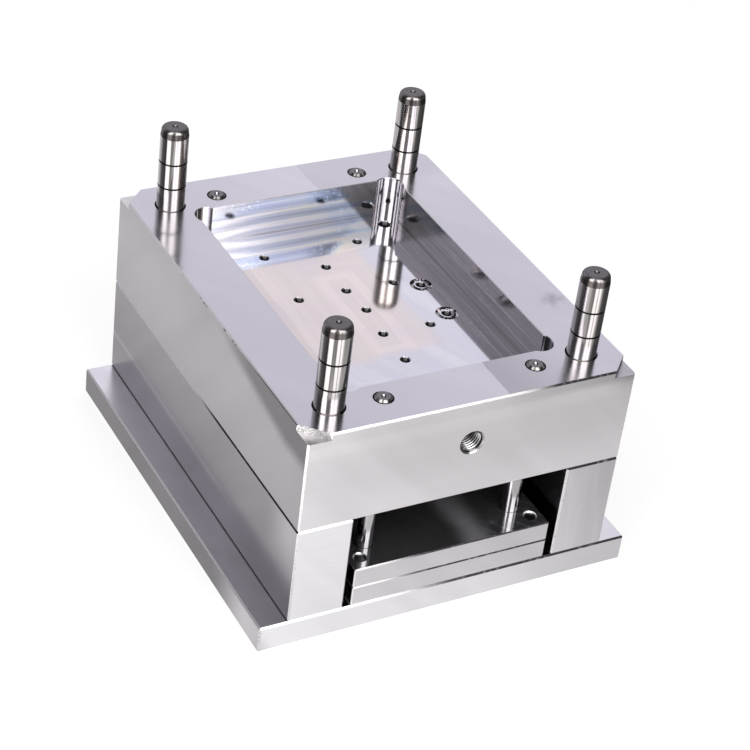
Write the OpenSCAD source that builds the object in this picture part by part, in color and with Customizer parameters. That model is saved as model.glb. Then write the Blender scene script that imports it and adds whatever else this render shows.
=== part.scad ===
// Ejector-side half of a two-plate injection mould: a stack of ground steel plates.
// Origin at the centre of the clamp plate's underside, +Z towards the parting face,
// X across the mould, and the eyebolt hole that faces the operator on the -Y side.

/* [Stack] */
// Width of the core plate and of the spacer pair, along X
mould_w = 240; // [225:1:275]
// Length of every plate in the stack, along Y
mould_l = 306; // [296:1:345]
// Thickness of the bottom clamp plate
clamp_t = 20; // [18:0.5:28]
// How far the clamp plate stands out past the stack on each side
clamp_overhang = 20; // [12:0.5:35]
// Height of the two spacer blocks
spacer_h = 74; // [62:1:110]
// Width of each spacer block
spacer_w = 40; // [38:0.5:44]
// Thickness of the core plate
core_t = 74; // [68:1:100]
// Width of the chamfer on the edges of the large plates
edge_chamfer = 1.2; // [0.5:0.1:2]

/* [Ejector plates] */
// Thickness of the ejector plate
ejector_t = 15; // [13:0.5:18]
// Thickness of the retainer plate that holds the pin heads
retainer_t = 15; // [12:0.5:18]
// Side gap between the ejector plates and each spacer
ejector_side_gap = 6; // [3:0.5:7]
// How far the ejector plates stop short of the stack's front and back
ejector_end_gap = 0.5; // [0.2:0.1:3]
// Chamfer on the edges of the ejector plates
ejector_chamfer = 0.8; // [0.4:0.1:1.2]

/* [Pocket] */
// Wall left between the pocket and each side of the core plate
pocket_side_wall = 40.5; // [38:0.5:46]
// Wall left between the pocket and the core plate's front or back
pocket_end_wall = 39; // [37:0.5:46]
// Depth of the pocket floor under the parting face
pocket_depth = 29; // [20:0.5:36]
// Radius of the cutter path that clears each pocket corner
relief_r = 10; // [7:0.5:11]
// How far each corner relief cuts past the pocket walls
relief_over = 2.2; // [0.2:0.1:3]
// Chamfer along the pocket's top rim
rim_chamfer = 0.5; // [0.2:0.1:1]

/* [Pry slots] */
// Leg length of the triangular pry slot in each top corner
pry_leg = 16.5; // [10:0.5:22]
// Depth of the pry slots
pry_depth = 5; // [3:0.5:7]

/* [Guide pins] */
// Guide pin diameter
guide_d = 20; // [16:0.5:22]
// Distance of each guide pin's axis from the side of the core plate
guide_edge_x = 27; // [25:0.5:29]
// Distance of each guide pin's axis from the front or back of the core plate
guide_edge_y = 27; // [25:0.5:29]
// Length of guide pin that stands above the parting face
guide_out = 63; // [50:1:90]
// Height of the tapered and rounded nose
guide_nose = 6.5; // [5:0.5:9]
// Distance between the oil grooves
groove_pitch = 19; // [12:0.5:24]
// Height of the lowest oil groove above the parting face
groove_start = 18; // [8:0.5:22]

/* [Return pins] */
// Return pin diameter
return_d = 12; // [10:0.5:13]
// Distance of each return pin's axis from the side of the ejector plates
return_inset = 18; // [15:0.5:22]
// Distance of each return pin's axis from the front or back face
return_edge_y = 24; // [22:0.5:25]
// Length of return pin that stands above the parting face
return_out = 1.5; // [0.5:0.1:3]

/* [Screws] */
// Thread diameter of the long frame screws
frame_screw_d = 12; // [10:1:12]
// Distance of each frame screw from the mould's middle, along Y
frame_screw_y = 85; // [60:1:92]
// Thread depth of the frame screws in the core plate
frame_grip = 24; // [16:1:30]
// Thread diameter of the spacer screws and of the ejector plate screws
small_screw_d = 8; // [6:1:8]
// Distance of each spacer screw from the front or back face
spacer_screw_edge = 16; // [13:0.5:20]
// Thread length of each spacer screw in its spacer
spacer_grip = 22; // [14:1:30]
// Distance of each ejector plate screw from the side of the ejector plates
ejector_screw_inset = 9; // [8.5:0.5:10]
// Distance of each ejector plate screw from the front or back face
ejector_screw_edge = 11.5; // [10:0.5:12]

/* [Holes] */
// Nominal diameter of the eyebolt thread in the front and back faces
eyebolt_d = 16; // [12:1:16]
// Depth of the eyebolt thread
eyebolt_depth = 28; // [20:1:30]
// Distance of the eyebolt hole's axis under the parting face
eyebolt_down = 32; // [20:1:40]
// Diameter of the knock-out hole in the clamp plate
knockout_d = 38; // [25:1:60]
// Diameter of the ejector pin holes in the pocket floor
pin_hole_d = 6.5; // [4:0.5:8]
// Distance of the side columns of pin holes from the centre plane
pin_col_x = 37; // [30:1:39]
// Distance of the inner rows of the side columns from the middle
pin_row_in = 27.5; // [22:0.5:32]
// Distance of the outer rows of the side columns from the middle
pin_row_out = 84; // [74:1:88]
// Distance of the inner pin holes of the middle column from the middle
mid_row_in = 28; // [22:0.5:34]
// Distance of the outer pin holes of the middle column from the middle
mid_row_out = 60; // [52:1:68]
// Diameter of the insert screw holes in the pocket corners
insert_hole_d = 9; // [6:0.5:9]
// Distance of the insert screw holes from the pocket's side walls
insert_inset_x = 12; // [12:0.5:18]
// Distance of the insert screw holes from the pocket's end walls
insert_inset_y = 14; // [12:0.5:20]

/* [Cooling] */
// Diameter of the cooling channels and of their ports in the floor
water_d = 7; // [5:0.5:8]
// Distance of the cooling ports from the pocket's right wall
port_inset = 25; // [20:0.5:28]
// Distance between the two cooling ports, along Y
port_pitch = 38; // [30:1:50]
// Depth of the cooling channels under the pocket floor
water_down = 18; // [14:1:22]
// Outer diameter of the seal groove around each port
seal_od = 16; // [14:0.5:18]
// Inner diameter of the seal groove around each port
seal_id = 10; // [9:0.5:11]
// Depth of the seal groove
seal_depth = 2; // [1:0.1:3]
// Diameter of the hose thread at the right face
hose_d = 12; // [10:0.5:14]
// Depth of the hose thread at the right face
hose_depth = 15; // [10:1:18]

/* [Hidden] */

$fn = 96;
eps = 0.01;
over = 1;
low = -1;
high = 1;
quarter = 90;

// Heights of the faces between the plates
spacer_z = clamp_t;
core_z = clamp_t + spacer_h;
top_z = core_z + core_t;
floor_z = top_z - pocket_depth;
ejector_z = clamp_t;
retainer_z = ejector_z + ejector_t;
retainer_top = retainer_z + retainer_t;
eyebolt_z = top_z - eyebolt_down;
water_z = floor_z - water_down;

// Plate sizes
clamp_w = mould_w + clamp_overhang + clamp_overhang;
spacer_x = mould_w / 2 - spacer_w / 2;
ejector_w = mould_w - (spacer_w + ejector_side_gap) * 2;
ejector_l = mould_l - ejector_end_gap * 2;
pocket_w = mould_w - pocket_side_wall * 2;
pocket_l = mould_l - pocket_end_wall * 2;

// Clearances, on the radius
run_gap = 0.05;
thread_gap = 0.1;
screw_gap = 0.5;
head_gap = 0.25;

// Pins
guide_x = mould_w / 2 - guide_edge_x;
guide_y = mould_l / 2 - guide_edge_y;
guide_head_d = guide_d + 5;
guide_head_h = 6;
guide_mouth = 1;
nose_taper = 0.5;
nose_r = 3;
nose_steps = 8;
groove_w = 1.4;
groove_deep = 0.7;
groove_slope = 0.3;
centre_r = 1.9;
centre_pilot_r = 0.8;
centre_cone = 2;
centre_depth = 4.5;
return_x = ejector_w / 2 - return_inset;
return_y = mould_l / 2 - return_edge_y;
return_head_d = return_d + 5;
return_head_h = 5;
return_mouth = 1;
return_tip = 1.4;
return_centre_r = 1.7;
return_centre_pilot = 0.7;
return_centre_cone = 1.7;
return_centre_depth = 3.5;
return_plate_gap = 0.25;

// Screws: a socket head is as high as its thread is wide, and half as wide again
head_ratio = 1.5;
socket_ratio = 0.84;
socket_depth_ratio = 0.5;
head_sink = 1;
small_head_sink = 0.5;
tip_chamfer = 0.8;
head_chamfer = 0.6;
frame_head_d = frame_screw_d * head_ratio;
small_head_d = small_screw_d * head_ratio + 1;
ejector_screw_x = ejector_w / 2 - ejector_screw_inset;
ejector_screw_y = mould_l / 2 - ejector_screw_edge;
spacer_screw_y = mould_l / 2 - spacer_screw_edge;
ejector_grip = retainer_t - 1.5;
mouth = 0.8;
bottom_spare = 4;

// Holes
insert_x = pocket_w / 2 - insert_inset_x;
insert_y = pocket_l / 2 - insert_inset_y;
port_x = pocket_w / 2 - port_inset;
eyebolt_mouth = 1;
eyebolt_spare = 2;
middle_shift_x = 2.5;
middle_shift_y = 2;
pin_mouth = 0.5;
pin_plate_gap = 0.25;
pin_head_d = pin_hole_d + 4.5;
pin_head_h = 4;
insert_head_d = insert_hole_d * 1.6;
insert_head_h = 9;
knockout_mouth = 1.5;
hose_mouth = 1;

// Places of the pin holes in the pocket floor, as [x, y]
PIN_HOLES = concat(
    [for (sx = [low, high], sy = [low, high], row = [pin_row_in, pin_row_out]) [sx * pin_col_x, sy * row]],
    [for (sy = [low, high], row = [mid_row_in, mid_row_out]) [0, sy * row]],
    [[middle_shift_x, middle_shift_y]]);

// A rectangle with its four corners cut off at 45 degrees
module cut_rect(w, l, c) {
    polygon([[-w / 2 + c, -l / 2], [w / 2 - c, -l / 2], [w / 2, -l / 2 + c], [w / 2, l / 2 - c],
        [w / 2 - c, l / 2], [-w / 2 + c, l / 2], [-w / 2, l / 2 - c], [-w / 2, -l / 2 + c]]);
}

// A plate standing on z = 0 with a 45 degree chamfer along all twelve edges
module plate(w, l, t, c) {
    intersection() {
        linear_extrude(height = t) cut_rect(w, l, c);
        translate([0, l / 2 + over, t / 2]) rotate([quarter, 0, 0])
            linear_extrude(height = l + over * 2) cut_rect(w, t, c);
        translate([-w / 2 - over, 0, t / 2]) rotate([quarter, 0, quarter])
            linear_extrude(height = w + over * 2) cut_rect(l, t, c);
    }
}

// A hole of radius r from z = 0 down to -depth, with a 45 degree mouth of width m
module drilled(r, depth, m) {
    translate([0, 0, -depth]) cylinder(r = r, h = depth + over);
    translate([0, 0, -m]) cylinder(r1 = r, r2 = r + m + over, h = m + over);
}

// The same hole from z = 0 up to +depth
module drilled_up(r, depth, m) {
    mirror([0, 0, 1]) drilled(r, depth, m);
}

// A copy at each of the four places [+-x, +-y]
module at_corners(x, y) {
    for (sx = [low, high], sy = [low, high]) translate([sx * x, sy * y, 0]) children();
}

// The pocket with its corners cleared by round reliefs and a chamfered rim, floor at z = 0
module pocket_cut() {
    relief_x = pocket_w / 2 + relief_over - relief_r;
    relief_y = pocket_l / 2 + relief_over - relief_r;
    wide = pocket_w / 2;
    long = pocket_l / 2;
    rim = pocket_depth - rim_chamfer;
    lift = rim_chamfer + over;
    // The reliefs make the corners, so the straight cuts stop short of them
    corner = relief_r * 0.7;
    linear_extrude(height = pocket_depth + over) cut_rect(pocket_w, pocket_l, corner);
    intersection() {
        linear_extrude(height = pocket_depth + over) cut_rect(pocket_w + lift * 2, pocket_l + lift * 2, corner);
        translate([0, long + lift, 0]) rotate([quarter, 0, 0]) linear_extrude(height = (long + lift) * 2)
            polygon([[-wide, rim], [wide, rim], [wide + lift, rim + lift], [-wide - lift, rim + lift]]);
        translate([-wide - lift, 0, 0]) rotate([quarter, 0, quarter]) linear_extrude(height = (wide + lift) * 2)
            polygon([[-long, rim], [long, rim], [long + lift, rim + lift], [-long - lift, rim + lift]]);
    }
    at_corners(relief_x, relief_y) {
        cylinder(r = relief_r, h = pocket_depth + over);
        translate([0, 0, rim]) cylinder(r1 = relief_r, r2 = relief_r + lift, h = lift);
    }
}

// The triangular pry slot at one corner of the parting face
module pry_cut() {
    far = pry_leg + over * 2;
    linear_extrude(height = pry_depth + over)
        polygon([[over, over], [over - far, over], [over, over - far]]);
}

// The ring groove around a cooling port, cut down from z = 0
module seal_groove() {
    translate([0, 0, -seal_depth]) difference() {
        cylinder(r = seal_od / 2, h = seal_depth + over);
        translate([0, 0, -over]) cylinder(r = seal_id / 2, h = seal_depth + over * 3);
    }
}

// Core plate: the pocket, its floor holes, cooling lines, pin bores and eyebolt threads
module core_plate() {
    color("silver") difference() {
        translate([0, 0, core_z]) plate(mould_w, mould_l, core_t, edge_chamfer);
        translate([0, 0, floor_z]) pocket_cut();
        for (sx = [0, 1], sy = [0, 1]) mirror([sx, 0, 0]) mirror([0, sy, 0])
            translate([mould_w / 2, mould_l / 2, top_z - pry_depth]) pry_cut();
        at_corners(guide_x, guide_y) {
            translate([0, 0, core_z - over]) cylinder(r = guide_d / 2 + run_gap, h = core_t + over * 2);
            translate([0, 0, core_z - over])
                cylinder(r = guide_head_d / 2 + head_gap, h = guide_head_h + over);
            translate([0, 0, top_z]) drilled(guide_d / 2 + run_gap, core_t / 2, guide_mouth);
        }
        at_corners(return_x, return_y) {
            translate([0, 0, core_z - over]) cylinder(r = return_d / 2 + run_gap, h = core_t + over * 2);
            translate([0, 0, top_z]) drilled(return_d / 2 + run_gap, core_t / 2, return_mouth);
            translate([0, 0, core_z]) drilled_up(return_d / 2 + run_gap, core_t / 2, return_mouth);
        }
        for (p = PIN_HOLES) translate([p[0], p[1], 0]) {
            translate([0, 0, floor_z]) drilled(pin_hole_d / 2, floor_z - core_z + over, pin_mouth);
        }
        at_corners(insert_x, insert_y) {
            translate([0, 0, floor_z]) drilled(insert_hole_d / 2, floor_z - core_z + over, pin_mouth);
            translate([0, 0, core_z]) drilled_up(insert_head_d / 2, insert_head_h, pin_mouth);
        }
        at_corners(spacer_x, frame_screw_y) translate([0, 0, core_z])
            drilled_up(frame_screw_d / 2 + thread_gap, frame_grip + bottom_spare, mouth);
        for (sy = [low, high]) translate([port_x, sy * port_pitch / 2, 0]) {
            translate([0, 0, floor_z]) drilled(water_d / 2, water_down, pin_mouth);
            translate([0, 0, floor_z]) seal_groove();
            translate([-water_d / 2, 0, water_z]) rotate([0, quarter, 0])
                cylinder(r = water_d / 2, h = mould_w);
        }
        for (sy = [low, high]) translate([mould_w / 2, sy * port_pitch / 2, water_z])
            rotate([0, quarter, 0]) drilled(hose_d / 2, hose_depth, hose_mouth);
        for (turn = [0, quarter * 2]) rotate([0, 0, turn]) translate([0, -mould_l / 2, eyebolt_z])
            rotate([quarter, 0, 0])
                drilled(eyebolt_d / 2 + thread_gap, eyebolt_depth + eyebolt_spare, eyebolt_mouth);
    }
}

// One spacer block on the +X side: clearance for the frame screws, threads for the short ones
module spacer_block() {
    difference() {
        translate([spacer_x, 0, spacer_z]) plate(spacer_w, mould_l, spacer_h, edge_chamfer);
        for (sy = [low, high]) {
            translate([spacer_x, sy * frame_screw_y, spacer_z - over])
                cylinder(r = frame_screw_d / 2 + screw_gap, h = spacer_h + over * 2);
            translate([spacer_x, sy * spacer_screw_y, spacer_z])
                drilled_up(small_screw_d / 2 + thread_gap, spacer_grip + bottom_spare, mouth);
        }
    }
}

module spacer_block_left() { color("gainsboro") mirror([1, 0, 0]) spacer_block(); }
module spacer_block_right() { color("gainsboro") spacer_block(); }

// Clamp plate: knock-out hole and the counterbores for both kinds of screw
module clamp_plate() {
    color("lightgray") difference() {
        plate(clamp_w, mould_l, clamp_t, edge_chamfer);
        translate([0, 0, clamp_t]) drilled(knockout_d / 2, clamp_t + over, knockout_mouth);
        drilled_up(knockout_d / 2, clamp_t / 2, knockout_mouth);
        at_corners(spacer_x, frame_screw_y) {
            drilled_up(frame_head_d / 2 + head_gap, frame_screw_d + head_sink, mouth);
            translate([0, 0, -over]) cylinder(r = frame_screw_d / 2 + screw_gap, h = clamp_t + over * 2);
        }
        at_corners(spacer_x, spacer_screw_y) {
            drilled_up(small_head_d / 2 + head_gap, small_screw_d + small_head_sink, mouth);
            translate([0, 0, -over]) cylinder(r = small_screw_d / 2 + screw_gap, h = clamp_t + over * 2);
        }
    }
}

// Ejector plate: it backs the pin heads and takes the screw heads from below
module ejector_plate() {
    color("darkgray") difference() {
        translate([0, 0, ejector_z]) plate(ejector_w, ejector_l, ejector_t, ejector_chamfer);
        at_corners(ejector_screw_x, ejector_screw_y) translate([0, 0, ejector_z]) {
            drilled_up(small_head_d / 2 + head_gap, small_screw_d + small_head_sink, mouth);
            cylinder(r = small_screw_d / 2 + screw_gap, h = ejector_t + over);
        }
    }
}

// Retainer plate: seats for the return pin heads and for the ejector pins it is drilled for
module retainer_plate() {
    color("dimgray") difference() {
        translate([0, 0, retainer_z]) plate(ejector_w, ejector_l, retainer_t, ejector_chamfer);
        at_corners(ejector_screw_x, ejector_screw_y) {
            translate([0, 0, retainer_top]) drilled(small_screw_d / 2 + thread_gap, retainer_t + over, mouth);
        }
        at_corners(return_x, return_y) {
            translate([0, 0, retainer_z - over])
                cylinder(r = return_d / 2 + return_plate_gap, h = retainer_t + over * 2);
            translate([0, 0, retainer_z - over])
                cylinder(r = return_head_d / 2 + head_gap, h = return_head_h + over);
        }
        for (p = PIN_HOLES) translate([p[0], p[1], retainer_z - over]) {
            cylinder(r = pin_hole_d / 2 + pin_plate_gap, h = retainer_t + over * 2);
            cylinder(r = pin_head_d / 2, h = pin_head_h + over);
        }
    }
}

// Half outline of an oil groove at height z on radius r
function groove(z, r) = [[r, z - groove_w / 2], [r - groove_deep, z - groove_w / 2 + groove_slope],
    [r - groove_deep, z + groove_w / 2 - groove_slope], [r, z + groove_w / 2]];

// Guide pin: head under the core plate, grooved shank, tapered and rounded nose, centre hole
module guide_pin() {
    r = guide_d / 2;
    tip = top_z + guide_out;
    nose_x = r - nose_taper - nose_r;
    nose_z = tip - nose_r;
    difference() {
        rotate_extrude() polygon(concat(
            [[0, core_z], [guide_head_d / 2, core_z], [guide_head_d / 2, core_z + guide_head_h],
             [r, core_z + guide_head_h]],
            groove(top_z + groove_start, r),
            groove(top_z + groove_start + groove_pitch, r),
            [[r, tip - guide_nose]],
            [for (i = [0:nose_steps]) [nose_x + nose_r * cos(quarter * i / nose_steps),
                nose_z + nose_r * sin(quarter * i / nose_steps)]],
            [[0, tip]]));
        translate([0, 0, tip - centre_cone]) cylinder(r1 = centre_pilot_r, r2 = centre_r, h = centre_cone);
        translate([0, 0, tip - eps]) cylinder(r = centre_r, h = over);
        translate([0, 0, tip - centre_depth]) cylinder(r = centre_pilot_r, h = centre_depth);
    }
}

module guide_pin_fl() { color("slategray") translate([-guide_x, -guide_y, 0]) guide_pin(); }
module guide_pin_fr() { color("slategray") translate([guide_x, -guide_y, 0]) guide_pin(); }
module guide_pin_bl() { color("slategray") translate([-guide_x, guide_y, 0]) guide_pin(); }
module guide_pin_br() { color("slategray") translate([guide_x, guide_y, 0]) guide_pin(); }

// Return pin: head in the retainer plate, shank through the core plate, bevelled end
module return_pin() {
    r = return_d / 2;
    tip = top_z + return_out;
    difference() {
        rotate_extrude() polygon([[0, retainer_z], [return_head_d / 2, retainer_z],
            [return_head_d / 2, retainer_z + return_head_h], [r, retainer_z + return_head_h],
            [r, tip - return_tip], [r - return_tip, tip], [0, tip]]);
        translate([0, 0, tip - return_centre_cone])
            cylinder(r1 = return_centre_pilot, r2 = return_centre_r, h = return_centre_cone);
        translate([0, 0, tip - eps]) cylinder(r = return_centre_r, h = over);
        translate([0, 0, tip - return_centre_depth])
            cylinder(r = return_centre_pilot, h = return_centre_depth);
    }
}

module return_pin_fl() { color("whitesmoke") translate([-return_x, -return_y, 0]) return_pin(); }
module return_pin_fr() { color("whitesmoke") translate([return_x, -return_y, 0]) return_pin(); }
module return_pin_bl() { color("whitesmoke") translate([-return_x, return_y, 0]) return_pin(); }
module return_pin_br() { color("whitesmoke") translate([return_x, return_y, 0]) return_pin(); }

// Socket head screw, head down: the head's seat is at z = 0 and the thread runs up to +length
module socket_screw(d, head_d, length) {
    r = d / 2;
    difference() {
        rotate_extrude() polygon([[0, -d], [head_d / 2 - head_chamfer, -d], [head_d / 2, -d + head_chamfer],
            [head_d / 2, 0], [r, 0], [r, length - tip_chamfer], [r - tip_chamfer, length], [0, length]]);
        translate([0, 0, -d - over])
            cylinder(d = d * socket_ratio / cos(quarter / 3), h = d * socket_depth_ratio + over, $fn = 6);
    }
}

module frame_screw() {
    seat = frame_screw_d + head_sink;
    translate([0, 0, seat]) socket_screw(frame_screw_d, frame_head_d, core_z + frame_grip - seat);
}

module frame_screw_fl() { color("darkslategray") translate([-spacer_x, -frame_screw_y, 0]) frame_screw(); }
module frame_screw_fr() { color("darkslategray") translate([spacer_x, -frame_screw_y, 0]) frame_screw(); }
module frame_screw_bl() { color("darkslategray") translate([-spacer_x, frame_screw_y, 0]) frame_screw(); }
module frame_screw_br() { color("darkslategray") translate([spacer_x, frame_screw_y, 0]) frame_screw(); }

module spacer_screw() {
    seat = small_screw_d + small_head_sink;
    translate([0, 0, seat]) socket_screw(small_screw_d, small_head_d, spacer_z + spacer_grip - seat);
}

module spacer_screw_fl() { color("darkslategray") translate([-spacer_x, -spacer_screw_y, 0]) spacer_screw(); }
module spacer_screw_fr() { color("darkslategray") translate([spacer_x, -spacer_screw_y, 0]) spacer_screw(); }
module spacer_screw_bl() { color("darkslategray") translate([-spacer_x, spacer_screw_y, 0]) spacer_screw(); }
module spacer_screw_br() { color("darkslategray") translate([spacer_x, spacer_screw_y, 0]) spacer_screw(); }

module ejector_screw() {
    seat = ejector_z + small_screw_d + small_head_sink;
    translate([0, 0, seat]) socket_screw(small_screw_d, small_head_d, retainer_z + ejector_grip - seat);
}

module ejector_screw_fl() {
    color("darkslategray") translate([-ejector_screw_x, -ejector_screw_y, 0]) ejector_screw();
}
module ejector_screw_fr() {
    color("darkslategray") translate([ejector_screw_x, -ejector_screw_y, 0]) ejector_screw();
}
module ejector_screw_bl() {
    color("darkslategray") translate([-ejector_screw_x, ejector_screw_y, 0]) ejector_screw();
}
module ejector_screw_br() {
    color("darkslategray") translate([ejector_screw_x, ejector_screw_y, 0]) ejector_screw();
}

core_plate();
spacer_block_left();
spacer_block_right();
clamp_plate();
ejector_plate();
retainer_plate();
guide_pin_fl();
guide_pin_fr();
guide_pin_bl();
guide_pin_br();
return_pin_fl();
return_pin_fr();
return_pin_bl();
return_pin_br();
frame_screw_fl();
frame_screw_fr();
frame_screw_bl();
frame_screw_br();
spacer_screw_fl();
spacer_screw_fr();
spacer_screw_bl();
spacer_screw_br();
ejector_screw_fl();
ejector_screw_fr();
ejector_screw_bl();
ejector_screw_br();
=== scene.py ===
# %% [markdown]
# # The ejector-side half of an injection mould
# The real thing is a stack of hardened and ground steel plates: a thick plate with a milled pocket, four
# guide pins and four return pins in it, two spacer blocks, a clamp plate, and an ejector plate pair that
# slides between the spacers. The solids come from the CAD model. This lesson gives them their finishes,
# adds the threads that the solids leave out, and sets up the studio. Everything is in metres, with Z up and
# the mould's front at -Y.

# %% Load the solids
import math

import bmesh
import bpy
from mathutils import Euler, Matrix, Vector


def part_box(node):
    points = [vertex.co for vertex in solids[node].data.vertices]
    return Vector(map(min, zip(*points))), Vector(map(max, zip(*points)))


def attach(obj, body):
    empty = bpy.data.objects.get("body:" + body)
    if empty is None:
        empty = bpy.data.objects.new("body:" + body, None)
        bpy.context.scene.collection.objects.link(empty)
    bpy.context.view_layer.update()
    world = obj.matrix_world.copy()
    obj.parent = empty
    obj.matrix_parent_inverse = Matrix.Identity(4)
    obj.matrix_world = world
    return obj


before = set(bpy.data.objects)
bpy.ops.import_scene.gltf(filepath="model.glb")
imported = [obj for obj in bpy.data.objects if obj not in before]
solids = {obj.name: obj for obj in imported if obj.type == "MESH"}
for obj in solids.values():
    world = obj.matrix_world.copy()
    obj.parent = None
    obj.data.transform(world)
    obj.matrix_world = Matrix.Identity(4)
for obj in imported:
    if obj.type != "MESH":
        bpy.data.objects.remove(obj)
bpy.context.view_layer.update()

MM = 0.001
scene = bpy.context.scene

# %% [markdown]
# ## The camera
# The picture was taken from the front left, looking down by about 35 degrees through a long lens. A camera
# could be placed by eye, but edges of a box run straight to the vanishing points, so a wrong place shows at
# once. The place, turn and focal length here come from fitting known corners of the plates to their pixels.

# %% Place the camera
PICTURE_PX = 750
SENSOR_MM = 36.0
FOCAL_PX = 2199.4
CAMERA_AT = (-0.6543, -1.0848, 0.9642)
CAMERA_TURN_DEG = (55.0895, -6.2806, -27.3123)

camera_data = bpy.data.cameras.new("camera")
camera_data.sensor_width = SENSOR_MM
camera_data.lens = FOCAL_PX * SENSOR_MM / PICTURE_PX
camera = bpy.data.objects.new("camera", camera_data)
camera.location = CAMERA_AT
camera.rotation_euler = Euler([math.radians(a) for a in CAMERA_TURN_DEG], "XYZ")
scene.collection.objects.link(camera)
scene.camera = camera
scene.view_settings.view_transform = "Standard"
print("camera lens", round(camera_data.lens, 1), "mm at", CAMERA_AT)

# %% [markdown]
# ## Small helpers for shader nodes
# Every finish below is made of shader nodes. Placing and wiring them one by one takes four lines a node, so
# a few helpers do it. What a node gives out is kept as a Value, and arithmetic on a Value adds Math nodes,
# so a formula for the shader reads like any other formula.

# %% A node's output as a value
def arithmetic(operation, reverse=False):
    """A method of Value for one kind of arithmetic; in reverse, the Value is the second of the two."""
    def method(self, *other):
        return calc(operation, *other, self) if reverse else calc(operation, self, *other)
    return method


class Value:
    """What a node gives out; arithmetic on it adds Math nodes to the same tree."""

    def __init__(self, socket):
        self.socket, self.tree = socket, socket.id_data

    __add__, __radd__ = arithmetic("ADD"), arithmetic("ADD", reverse=True)
    __sub__, __rsub__ = arithmetic("SUBTRACT"), arithmetic("SUBTRACT", reverse=True)
    __mul__, __rmul__ = arithmetic("MULTIPLY"), arithmetic("MULTIPLY", reverse=True)
    __truediv__, __rtruediv__ = arithmetic("DIVIDE"), arithmetic("DIVIDE", reverse=True)
    __pow__, __abs__ = arithmetic("POWER"), arithmetic("ABSOLUTE")


print("ready: Value")

# %% Helpers that add and wire nodes
def plug(value, socket):
    """Link a Value to the socket, or set a number, vector or colour as the socket's own value."""
    if isinstance(value, Value):
        value.tree.links.new(value.socket, socket)
    else:
        socket.default_value = (*value, 1.0) if socket.type == "RGBA" else value


def put(tree, kind, sockets=None, **settings):
    """Add one node of this kind, set its settings and fill its sockets."""
    made = tree.nodes.new("ShaderNode" + kind)
    for name, value in settings.items():
        setattr(made, name, value)
    for name, value in (sockets or {}).items():
        plug(value, made.inputs[name])
    return made


def out(node, name=0):
    """One output of a node."""
    return Value(node.outputs[name])


def outs(node):
    """All outputs of a node by name."""
    return {socket.name: Value(socket) for socket in node.outputs}


def tree_of(*values):
    """The tree in which the first Value of these lies."""
    return next(value.tree for value in values if isinstance(value, Value))


def calc(operation, *values):
    """One step of arithmetic."""
    return out(put(tree_of(*values), "Math", dict(enumerate(values)), operation=operation))


print("helpers ready: plug, put, out, outs, tree_of, calc")

# %% [markdown]
# The rest of the helpers are short names for the nodes that the finishes use most. One mixes two values, one
# mixes two colours, and one makes a colour darker or lighter.

# %% Helpers that mix
def mixed(kind, first, *values, **settings):
    """A Mix node of one kind; its sockets for that kind begin at the given number."""
    made = put(tree_of(*values), "Mix", data_type=kind, **settings)
    for number, value in zip((0, first, first + 1), values):
        plug(value, made.inputs[number])
    return made


def blend(factor, low, high):
    """A value between low and high; factor 0 gives low, 1 gives high."""
    return out(mixed("FLOAT", 2, factor, low, high), 0)


def tint(factor, low, high, way="MIX"):
    """A colour between low and high, or another way of combining them."""
    return out(mixed("RGBA", 6, factor, low, high, blend_type=way), 2)


def grey(level):
    """A colour from one value."""
    return out(put(level.tree, "CombineColor", {0: level, 1: level, 2: level}))


def shade(colour, *steps):
    """A colour made darker or lighter; a step is an amount, and the factors for amount 0 and amount 1."""
    for amount, low, high in steps:
        colour = tint(1.0, colour, grey(blend(amount, low, high)), "MULTIPLY")
    return colour


print("helpers ready: mixed, blend, tint, grey, shade")

# %% Helpers that stretch, split and turn
def ramp(value, low, high, to_low=0.0, to_high=1.0, smooth=True):
    """Stretch value so that low..high becomes to_low..to_high, held at both ends."""
    sockets = {"Value": value, "From Min": low, "From Max": high, "To Min": to_low, "To Max": to_high}
    return out(put(value.tree, "MapRange", sockets, interpolation_type="SMOOTHSTEP" if smooth else "LINEAR"))


def split(vector):
    """The X, Y and Z of a vector."""
    return [Value(socket) for socket in put(vector.tree, "SeparateXYZ", {0: vector}).outputs]


def join(x, y=0.0, z=0.0):
    """A vector from X, Y and Z."""
    return out(put(tree_of(x, y, z), "CombineXYZ", {0: x, 1: y, 2: z}))


def stretch(vector, factors):
    """A vector with each part multiplied by its own factor."""
    return out(put(vector.tree, "VectorMath", {0: vector, 1: factors}, operation="MULTIPLY"))


def turned(vector, angle):
    """A vector turned about Z."""
    return out(put(vector.tree, "VectorRotate", {"Vector": vector, "Angle": angle}, rotation_type="Z_AXIS"))


def noise(place, scale=1.0, detail=2.0, rough=0.5):
    """The value of a noise texture at a place."""
    sockets = {"Vector": place, "Scale": scale, "Detail": detail, "Roughness": rough}
    return out(put(place.tree, "TexNoise", sockets))


def ray_kinds(tree):
    """Whether the light ray comes from the camera, and whether it comes off a mirror or through glass."""
    rays = outs(put(tree, "LightPath"))
    return rays["Is Camera Ray"], calc("MAXIMUM", rays["Is Glossy Ray"], rays["Is Transmission Ray"])


print("helpers ready: ramp, split, join, stretch, turned, noise, ray_kinds")

# %% [markdown]
# ## The studio
# Polished steel has hardly a colour of its own: it shows the room. A studio for such a piece is mostly dark
# cloth with two tall soft boxes in front and a pale backdrop behind. On the round pins the two boxes turn
# into the two bright bands that run from tip to foot, so the list below could be read straight from the
# bands in the picture.

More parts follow.
